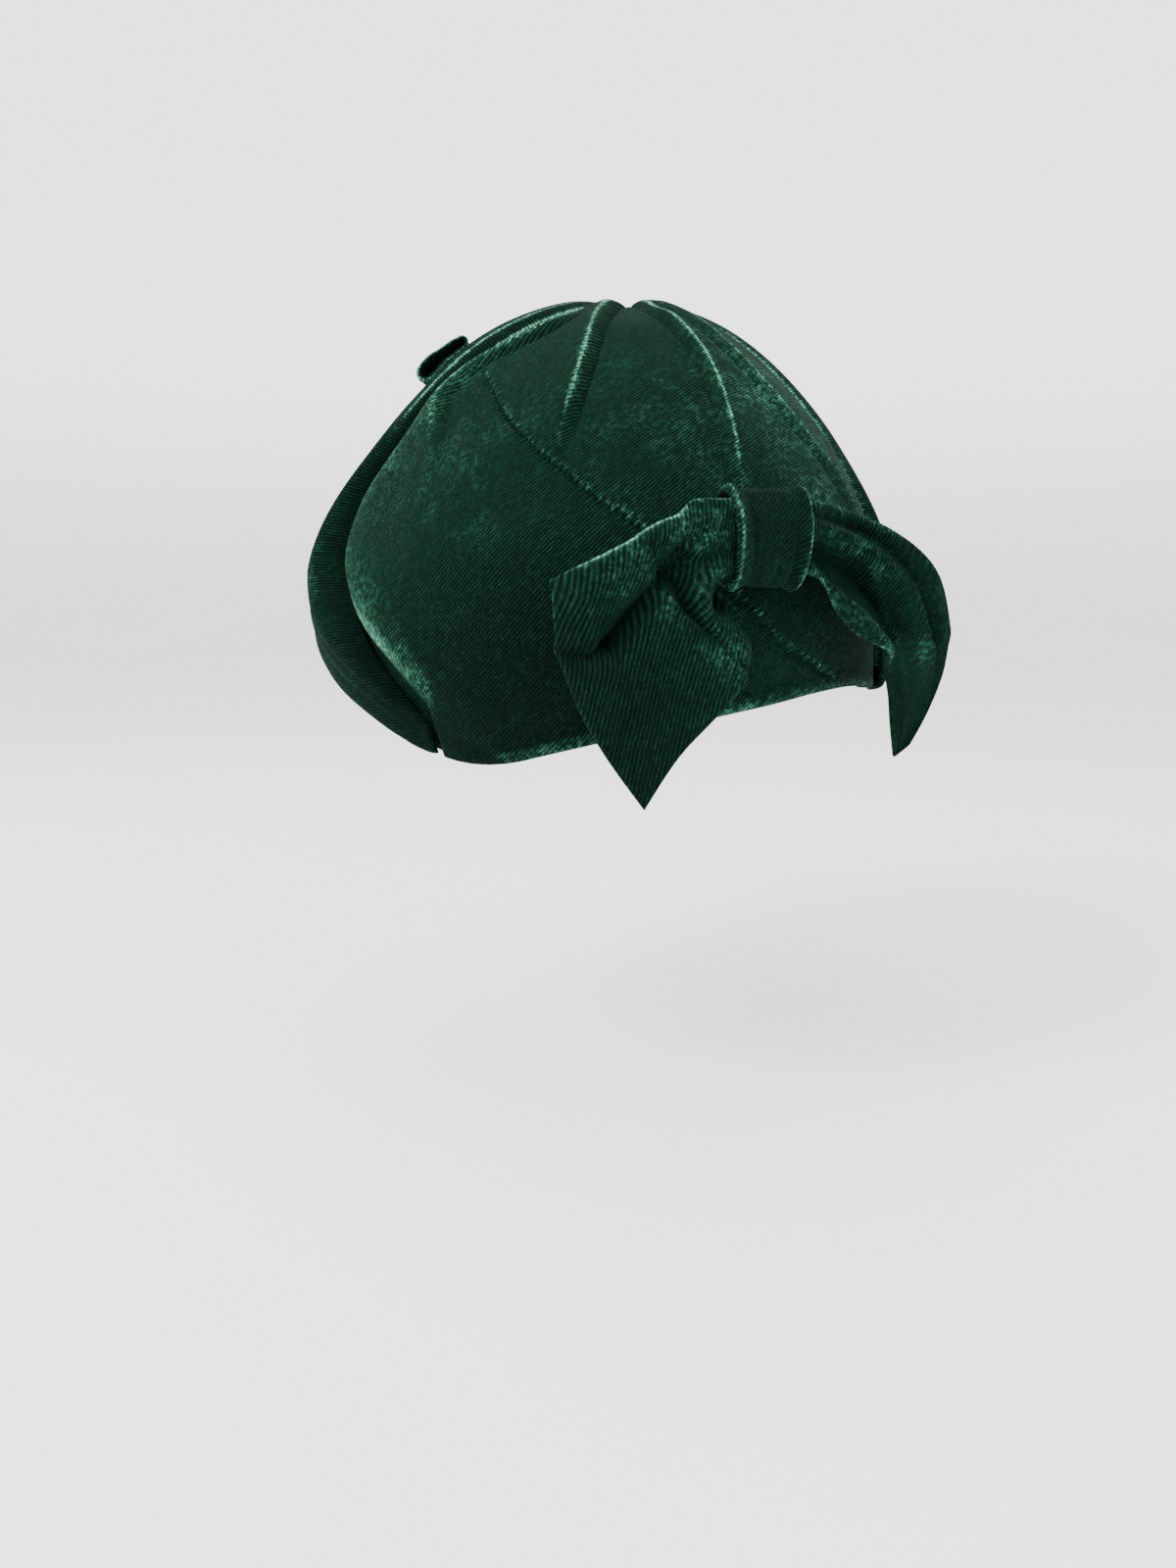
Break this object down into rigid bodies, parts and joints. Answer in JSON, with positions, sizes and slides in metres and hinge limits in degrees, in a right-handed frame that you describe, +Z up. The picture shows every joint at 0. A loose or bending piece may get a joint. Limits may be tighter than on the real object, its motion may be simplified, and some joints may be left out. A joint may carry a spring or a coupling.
{
  "type": "tilt hat",
  "caption": "Draped velvet tilt hat in worn form, with a pleated crown, a turned-up brim rolled at the side, a front loop and a bow with two hanging tails",
  "frame": {"origin": "the point inside the top of the crown where the head holds the hat", "axes": "+Z up as worn, -Y the way the wearer faces, +X to the wearer's left, where the hat is tilted down"},
  "size_m": [0.2302, 0.2173, 0.1843],
  "materials": {
    "crown_velvet": "deep green ribbed velvet, pile lit along pleats and edges",
    "brim_velvet": "deep green ribbed velvet, ribs across the roll",
    "loop_velvet": "deep green ribbed velvet",
    "knot_velvet": "deep green ribbed velvet, hems turned in at both sides",
    "tail_velvet": "deep green ribbed velvet, cut edges turned in"
  },
  "bodies": {
    "root": {"crown": "crown_velvet", "brim": "brim_velvet", "front_loop": "loop_velvet", "bow_knot": "knot_velvet", "bow_tail_left": "tail_velvet", "bow_tail_right": "tail_velvet"}
  },
  "joints": []
}
